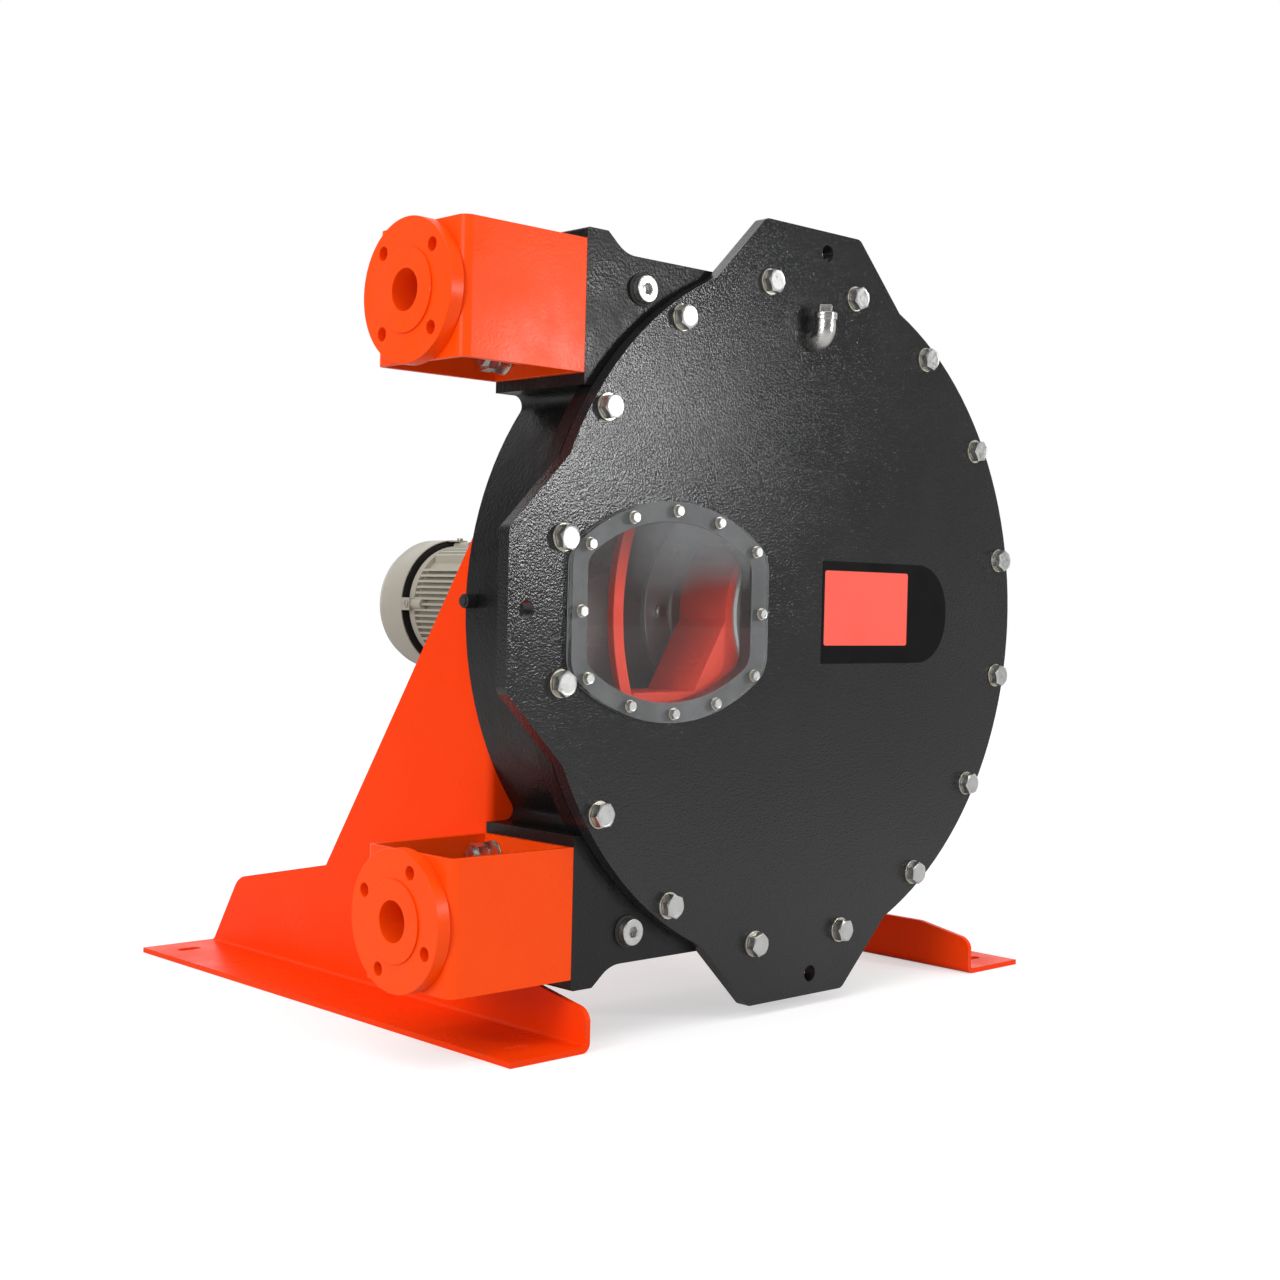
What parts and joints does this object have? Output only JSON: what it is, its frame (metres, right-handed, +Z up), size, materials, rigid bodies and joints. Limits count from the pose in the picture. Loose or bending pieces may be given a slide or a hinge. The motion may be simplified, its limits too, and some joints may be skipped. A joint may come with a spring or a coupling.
{
  "type": "peristaltic hose pump",
  "caption": "Large peristaltic hose pump: round bolted cover with a window on the rotor, a hose loop between two flanged ports on the left, coaxial gearmotor and bent-plate feet.",
  "frame": {"origin": "on the floor, at the centre of the four foot slots", "axes": "+X to the right seen from the cover's side, so the ports point to -X; +Y from the cover to the motor, along the pump axis; +Z up"},
  "size_m": [1.1906, 0.9745, 1.137],
  "materials": {
    "frame_paint": "smooth orange-red paint on bent steel plate, chipped along a few edges",
    "flange_paint": "smooth orange paint on turned steel",
    "housing_paint": "satin black paint on cast iron",
    "cover_paint": "black gloss paint on plate with a light orange-peel texture",
    "gear_paint": "warm grey paint on cast iron",
    "motor_paint": "warm grey paint on die-cast aluminium",
    "cowl_paint": "warm grey paint on pressed sheet",
    "zinc": "zinc-plated steel, slightly yellow",
    "bright_steel": "machined steel",
    "plate_steel": "dark oiled steel",
    "carrier_iron": "dark grey painted iron with machined rings",
    "stator_iron": "laminated iron with copper winding heads",
    "shoe_metal": "machined and polished working face",
    "rotor_paint": "orange paint on cast iron, wet with lubricant",
    "window_glass": "clear acrylic pane",
    "window_seal": "grey flat rubber seal",
    "gasket_rubber": "black rubber",
    "hose_rubber": "smooth ground black rubber, reinforced",
    "black_plastic": "matte black plastic"
  },
  "bodies": {
    "pump_body": {"left_frame": "frame_paint", "right_frame": "frame_paint", "frame_bolts": "zinc", "frame_washers": "zinc", "pump_housing": "housing_paint", "front_cover": "cover_paint", "cover_gasket": "gasket_rubber", "cover_bolts": "zinc", "cover_washers": "zinc", "window_pane": "window_glass", "window_gasket": "window_seal", "window_screws": "zinc", "window_washers": "zinc", "vent_elbow": "zinc", "vent_plug": "zinc", "upper_bracket": "frame_paint", "lower_bracket": "frame_paint", "bracket_bolts": "zinc", "bracket_washers": "zinc", "upper_flange": "flange_paint", "lower_flange": "flange_paint", "upper_insert": "flange_paint", "lower_insert": "flange_paint", "hose_clamps": "bright_steel", "hose": "hose_rubber", "port_plugs": "zinc", "plug_seals": "gasket_rubber", "side_plug": "black_plastic", "seal_carrier": "carrier_iron", "carrier_bolts": "zinc", "shaft_seal": "gasket_rubber", "output_housing": "gear_paint", "gear_casing": "gear_paint", "motor_adapter": "gear_paint", "gearbox_bolts": "zinc", "tie_bolts": "zinc", "front_bearing": "bright_steel", "rear_bearing": "bright_steel", "motor_flange": "motor_paint", "motor_bolts": "zinc", "motor_frame": "motor_paint", "stator": "stator_iron", "motor_bearings": "bright_steel", "rear_shield": "motor_paint", "fan_cowl": "cowl_paint", "cowl_screws": "zinc", "terminal_box": "motor_paint", "terminal_lid": "motor_paint"},
    "rotor_body": {"rotor": "rotor_paint", "leading_shoe": "shoe_metal", "trailing_shoe": "shoe_metal", "shoe_shims": "bright_steel", "shoe_bolts": "zinc", "rotor_shaft": "bright_steel", "shaft_key": "bright_steel", "retaining_plate": "plate_steel", "retaining_bolts": "plate_steel"},
    "motor_body": {"motor_shaft": "bright_steel", "motor_core": "stator_iron", "cooling_fan": "black_plastic"}
  },
  "joints": [
    {"name": "rotor_turn", "type": "hinge", "parent": "pump_body", "child": "rotor_body", "pos_m": [0, -0.3499, 0.577], "axis": [0, 1, 0], "continuous": true, "deforming": ["hose"]},
    {"name": "motor_spin", "type": "hinge", "parent": "pump_body", "child": "motor_body", "pos_m": [0, 0.24, 0.577], "axis": [0, 1, 0], "continuous": true}
  ],
  "couplings": [
    {"joint": "motor_spin", "follows": "rotor_turn", "ratio": 29}
  ]
}
